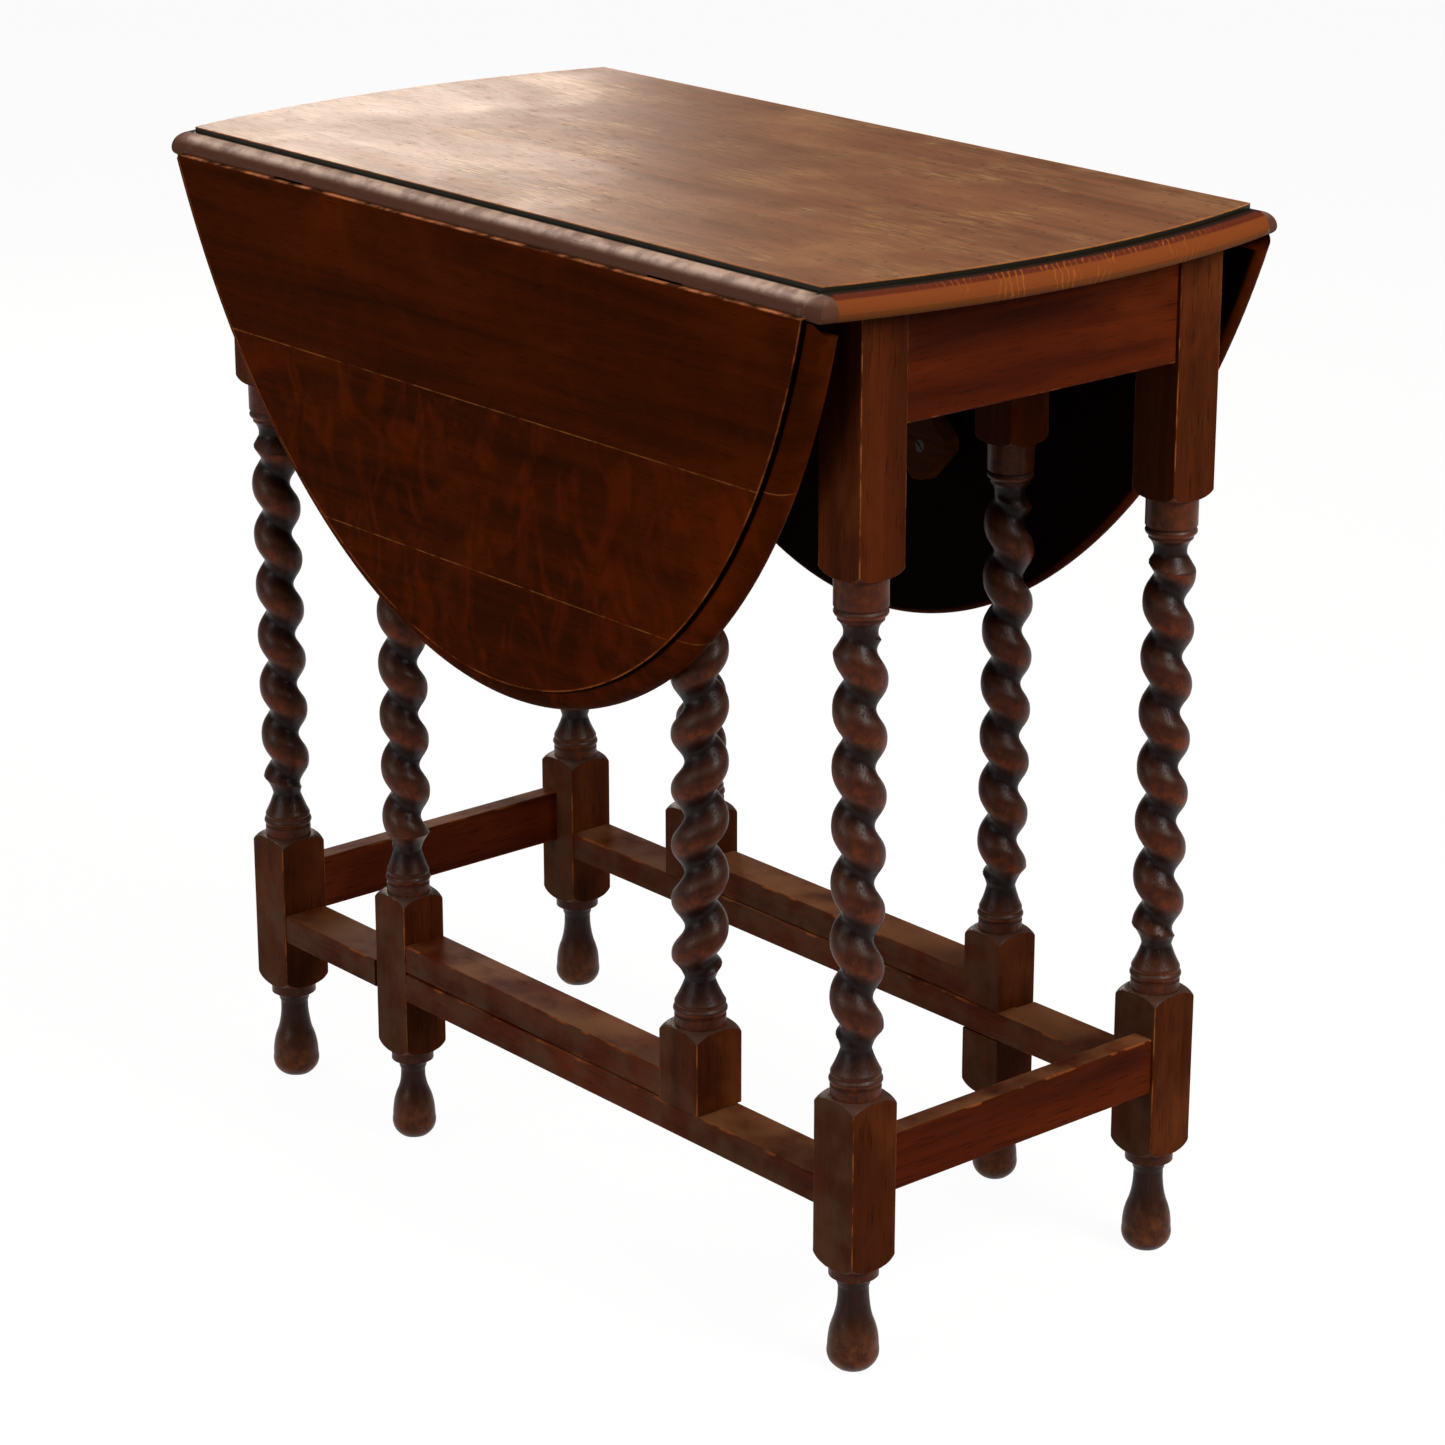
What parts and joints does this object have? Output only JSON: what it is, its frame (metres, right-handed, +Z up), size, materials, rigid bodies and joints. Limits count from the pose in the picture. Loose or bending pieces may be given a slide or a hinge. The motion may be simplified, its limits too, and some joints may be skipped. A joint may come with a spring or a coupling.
{
  "type": "gateleg drop leaf table",
  "caption": "Gateleg drop leaf table in dark oak: oval top with rule-jointed leaves hanging, barley twist legs, and swinging gates that carry the raised leaves.",
  "frame": {"origin": "on the floor, under the middle of the top", "axes": "+X along the hinges of the leaves, -Y towards the near leaf, +Z up"},
  "size_m": [0.744, 0.4022, 0.73],
  "materials": {
    "dark_oak_top": "worn wax polish",
    "dark_oak_leaf": "waxed",
    "dark_oak_frame": "waxed",
    "dark_oak_turned": "waxed, ridges worn",
    "plain_oak_stop": "bare",
    "hinge_iron": "dull",
    "screw_steel": "dull"
  },
  "bodies": {
    "frame": {"centre_board": "dark_oak_top", "far_hinge_pins": "hinge_iron", "far_hinge_top_plates": "hinge_iron", "far_hinge_top_screws": "screw_steel", "far_left_leg": "dark_oak_turned", "far_right_leg": "dark_oak_turned", "far_side_apron": "dark_oak_frame", "far_side_stretcher": "dark_oak_frame", "left_end_apron": "dark_oak_frame", "left_end_stretcher": "dark_oak_frame", "near_hinge_pins": "hinge_iron", "near_hinge_top_plates": "hinge_iron", "near_hinge_top_screws": "screw_steel", "near_left_leg": "dark_oak_turned", "near_right_leg": "dark_oak_turned", "near_side_apron": "dark_oak_frame", "near_side_stretcher": "dark_oak_frame", "right_end_apron": "dark_oak_frame", "right_end_stretcher": "dark_oak_frame", "top_fixing_screws": "screw_steel"},
    "near_leaf": {"near_gate_stop": "plain_oak_stop", "near_gate_stop_screw": "screw_steel", "near_hinge_leaf_plates": "hinge_iron", "near_hinge_leaf_screws": "screw_steel", "near_leaf_inner_board": "dark_oak_leaf", "near_leaf_middle_board": "dark_oak_leaf", "near_leaf_outer_board": "dark_oak_leaf"},
    "far_leaf": {"far_gate_stop": "plain_oak_stop", "far_gate_stop_screw": "screw_steel", "far_hinge_leaf_plates": "hinge_iron", "far_hinge_leaf_screws": "screw_steel", "far_leaf_inner_board": "dark_oak_leaf", "far_leaf_middle_board": "dark_oak_leaf", "far_leaf_outer_board": "dark_oak_leaf"},
    "near_gate": {"near_gate_bottom_rail": "dark_oak_frame", "near_gate_leg": "dark_oak_turned", "near_gate_pivots": "dark_oak_frame", "near_gate_top_rail": "dark_oak_frame", "near_pivot_post": "dark_oak_turned"},
    "far_gate": {"far_gate_bottom_rail": "dark_oak_frame", "far_gate_leg": "dark_oak_turned", "far_gate_pivots": "dark_oak_frame", "far_gate_top_rail": "dark_oak_frame", "far_pivot_post": "dark_oak_turned"}
  },
  "joints": [
    {"name": "near_leaf_hinge", "type": "hinge", "parent": "frame", "child": "near_leaf", "pos_m": [0, -0.185, 0.7138], "axis": [-1, 0, 0], "range_deg": [0, 94]},
    {"name": "far_leaf_hinge", "type": "hinge", "parent": "frame", "child": "far_leaf", "pos_m": [0, 0.185, 0.7138], "axis": [1, 0, 0], "range_deg": [0, 94]},
    {"name": "near_gate_swing", "type": "hinge", "parent": "frame", "child": "near_gate", "pos_m": [0.162, -0.1375, 0.136], "axis": [0, 0, 1], "range_deg": [0, 1.2]},
    {"name": "far_gate_swing", "type": "hinge", "parent": "frame", "child": "far_gate", "pos_m": [-0.162, 0.1375, 0.136], "axis": [0, 0, 1], "range_deg": [0, 1.2]}
  ]
}
